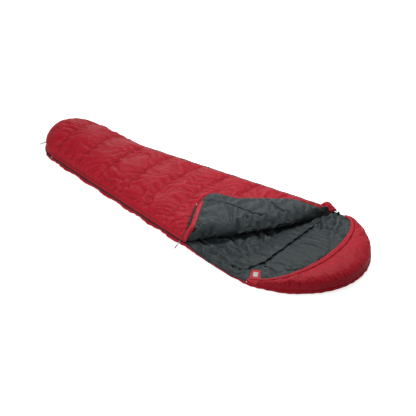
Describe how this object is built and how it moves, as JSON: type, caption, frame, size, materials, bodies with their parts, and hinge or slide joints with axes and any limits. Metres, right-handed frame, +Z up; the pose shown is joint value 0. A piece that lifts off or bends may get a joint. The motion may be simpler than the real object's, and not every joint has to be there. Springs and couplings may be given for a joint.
{
  "type": "mummy sleeping bag",
  "caption": "Mummy sleeping bag laid open on the floor: quilted shell and lining, shaped hood, side zip with slider, turned-back flap, closing tab and foot hanging loop.",
  "frame": {"origin": "on the underside, on the bag's centre line, halfway between the foot and the crown of the hood", "axes": "+X along the bag towards the hood, +Y to the side away from the zip, +Z up, floor at z = 0"},
  "size_m": [2.3348, 0.8548, 0.172],
  "materials": {
    "shell_fabric": "soft sheen, fine plain weave",
    "lining_fabric": "matt, fine plain weave",
    "hollow_fibre": "matt fleece",
    "zip_tape_fabric": "matt woven tape",
    "coil_nylon": "satin",
    "slider_metal": "satin black enamel",
    "bare_metal": "brushed",
    "trim_fabric": "matt",
    "grey_cord": "braided",
    "black_cord": "braided",
    "moulded_black": "satin",
    "label_fabric": "satin ribbon",
    "hook_tape": "fine hooks"
  },
  "bodies": {
    "bag": {"bottom_shell": "shell_fabric", "bottom_insulation": "hollow_fibre", "bottom_lining": "lining_fabric", "hood_centre_panel": "lining_fabric", "draft_collar": "lining_fabric", "top_shell": "shell_fabric", "top_insulation": "hollow_fibre", "top_lining": "lining_fabric", "side_piping": "trim_fabric", "hood_shell": "shell_fabric", "hood_insulation": "hollow_fibre", "hood_lining": "lining_fabric", "hood_edge_channel": "shell_fabric", "hood_drawcord": "black_cord", "drawcord_end": "black_cord", "cord_lock_body": "moulded_black", "cord_lock_spring": "bare_metal", "zip_tape_bottom": "zip_tape_fabric", "zip_coil_bottom": "coil_nylon", "zip_tape_top": "zip_tape_fabric", "zip_coil_top": "coil_nylon", "zip_bottom_stop": "bare_metal", "zip_tape_open": "zip_tape_fabric", "zip_coil_open": "coil_nylon", "zip_end_stop": "bare_metal", "zip_draft_tube": "lining_fabric", "loop_anchor": "trim_fabric"},
    "slider": {"zip_slider": "slider_metal"},
    "zip_pull": {"pull_cord": "grey_cord", "puller": "moulded_black"},
    "flap": {"flap_shell": "shell_fabric", "flap_insulation": "hollow_fibre", "flap_lining": "lining_fabric", "flap_facing": "shell_fabric", "flap_zip_tape": "zip_tape_fabric", "flap_zip_coil": "coil_nylon", "flap_end_stop": "bare_metal"},
    "tab": {"zip_tab": "shell_fabric", "tab_label": "label_fabric", "tab_hook_patch": "hook_tape"},
    "hang_loop": {"foot_loop": "grey_cord"},
    "lock_button": {"cord_lock_button": "moulded_black"}
  },
  "joints": [
    {"name": "zip_slide", "type": "slide", "parent": "bag", "child": "slider", "axis": [-0.9908, 0.1353, 0], "range_m": [0, 1.145]},
    {"name": "zip_pull_swing", "type": "hinge", "parent": "slider", "child": "zip_pull", "pos_m": [0.22836, -0.37855, 0.034], "axis": [-0.9908, 0.1353, 0], "range_deg": [0, 120]},
    {"name": "flap_fold", "type": "hinge", "parent": "bag", "child": "flap", "pos_m": [0.262, -0.3709, 0.112], "axis": [0.5336, 0.8458, 0], "range_deg": [0, 186]},
    {"name": "zip_tab_fold", "type": "hinge", "parent": "bag", "child": "tab", "pos_m": [0.765, -0.39694, 0.0435], "axis": [0.8387, 0.5446, 0], "range_deg": [0, 95]},
    {"name": "hang_loop_swing", "type": "hinge", "parent": "bag", "child": "hang_loop", "pos_m": [-1.14149, -0.10144, 0.034], "axis": [-0.2756, 0.9613, 0], "range_deg": [0, 100]},
    {"name": "cord_lock_press", "type": "slide", "parent": "bag", "child": "lock_button", "axis": [0, 0, -1], "range_m": [0, 0.0035], "stiffness_N_per_m": 200, "springref_m": -0.004, "deforming": ["cord_lock_spring"]}
  ]
}
